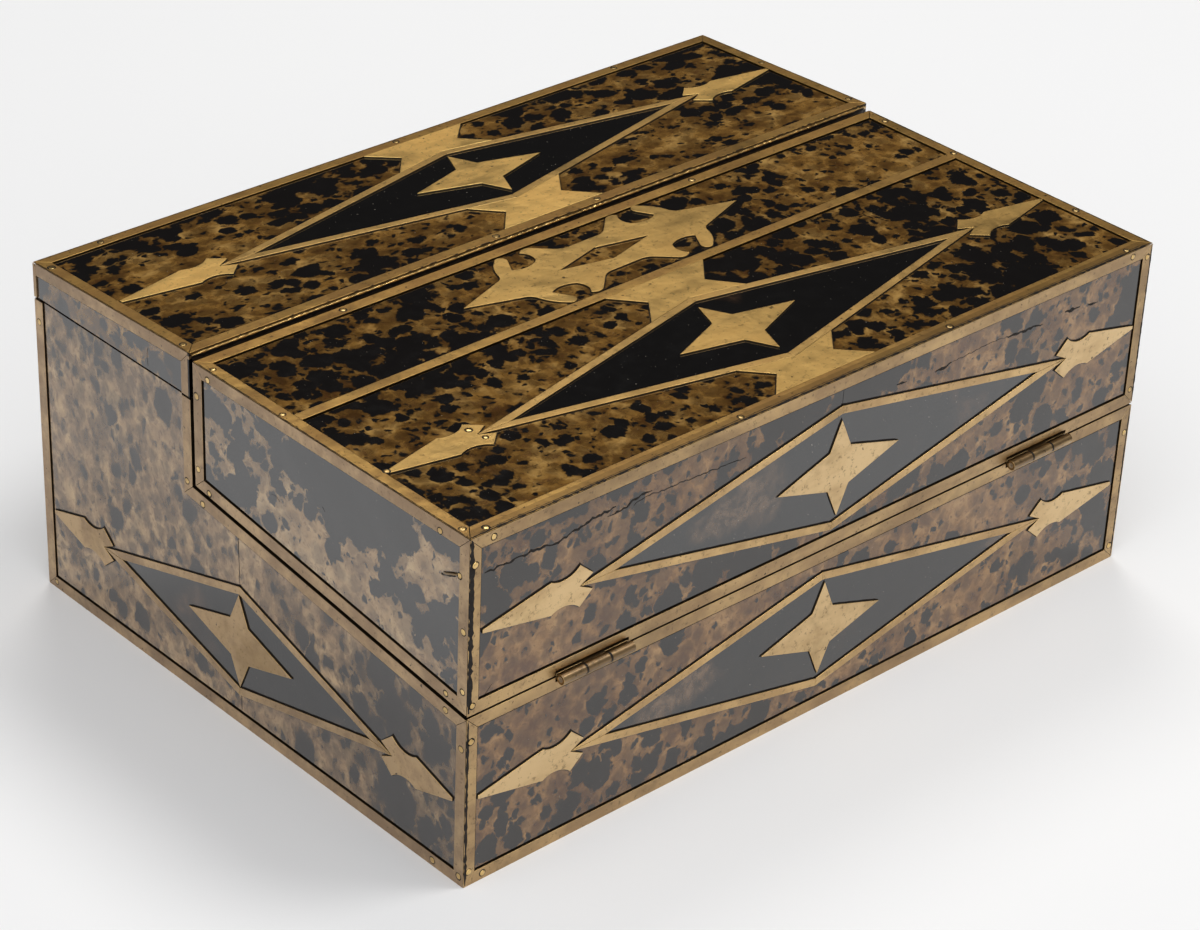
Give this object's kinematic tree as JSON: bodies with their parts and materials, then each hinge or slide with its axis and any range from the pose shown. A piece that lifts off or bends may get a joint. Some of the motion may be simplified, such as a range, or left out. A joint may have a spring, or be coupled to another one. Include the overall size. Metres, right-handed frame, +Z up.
{
  "type": "travel writing box",
  "caption": "Travel writing box in tortoiseshell and brass: hinged front lid on a sloping joint, hinged rear lid over a letter slot, pen tray and two ink bottles.",
  "frame": {"origin": "centre of the bounding box footprint, on the underside of the case", "axes": "+X along the long side to the right as seen from the hinge side, -Y out of the hinge side (front), +Z up"},
  "size_m": [0.35, 0.2646, 0.1476],
  "materials": {
    "case_wood": "satin",
    "fitting_wood": "satin",
    "mottled_shell": "gloss",
    "black_shell": "gloss",
    "old_brass": "satin",
    "hinge_brass": "satin",
    "hinge_pin_steel": "satin",
    "writing_leather": "matte",
    "ink_glass": "gloss"
  },
  "bodies": {
    "base": {"bottom_board": "case_wood", "left_end_board": "case_wood", "right_end_board": "case_wood", "front_board": "case_wood", "back_board": "case_wood", "step_board": "case_wood", "well_ledges": "fitting_wood", "writing_board": "fitting_wood", "writing_leather": "writing_leather", "letter_partition": "fitting_wood", "till_boards": "fitting_wood", "pen_tray": "fitting_wood", "ink_bottles": "ink_glass", "ink_collars": "hinge_brass", "base_hinge_leaves": "hinge_brass", "hinge_pins": "hinge_pin_steel", "base_front_shell": "mottled_shell", "base_back_shell": "mottled_shell", "base_end_shells": "mottled_shell", "base_front_strips": "old_brass", "base_back_strips": "old_brass", "base_end_strips": "old_brass", "base_lozenges": "black_shell", "base_fillets": "old_brass", "base_stars": "old_brass", "base_spears": "old_brass"},
    "front_lid": {"lid_top_board": "case_wood", "lid_front_board": "case_wood", "lid_rear_board": "case_wood", "lid_left_end_board": "case_wood", "lid_right_end_board": "case_wood", "lid_ledges": "fitting_wood", "lid_writing_board": "fitting_wood", "lid_leather": "writing_leather", "lid_hinge_leaves": "hinge_brass", "lid_top_shell": "mottled_shell", "lid_front_shell": "mottled_shell", "lid_end_shells": "mottled_shell", "lid_top_strips": "old_brass", "lid_front_strips": "old_brass", "lid_end_strips": "old_brass", "lid_lozenges": "black_shell", "lid_fillets": "old_brass", "lid_stars": "old_brass", "lid_spears": "old_brass", "lid_brackets": "old_brass", "scroll_ornament": "old_brass"},
    "rear_lid": {"rear_lid_board": "case_wood", "rear_lid_frame": "case_wood", "rear_lid_hinge_leaves": "hinge_brass", "rear_lid_shell": "mottled_shell", "rear_lid_top_strips": "old_brass", "rear_lid_edge_strips": "old_brass", "rear_lid_lozenge": "black_shell", "rear_lid_fillets": "old_brass", "rear_lid_star": "old_brass", "rear_lid_spears": "old_brass", "rear_lid_brackets": "old_brass"},
    "left_cap": {"left_ink_cap": "hinge_brass"},
    "right_cap": {"right_ink_cap": "hinge_brass"}
  },
  "joints": [
    {"name": "front_lid_hinge", "type": "hinge", "parent": "base", "child": "front_lid", "pos_m": [0, -0.1303, 0.0725], "axis": [1, 0, 0], "range_deg": [0, 180]},
    {"name": "rear_lid_hinge", "type": "hinge", "parent": "base", "child": "rear_lid", "pos_m": [0, 0.1303, 0.1287], "axis": [-1, 0, 0], "range_deg": [0, 195]},
    {"name": "left_ink_cap_hinge", "type": "hinge", "parent": "base", "child": "left_cap", "pos_m": [-0.1437, 0.1107, 0.109], "axis": [-1, 0, 0], "range_deg": [0, 95]},
    {"name": "right_ink_cap_hinge", "type": "hinge", "parent": "base", "child": "right_cap", "pos_m": [0.1437, 0.1107, 0.109], "axis": [-1, 0, 0], "range_deg": [0, 95]}
  ]
}
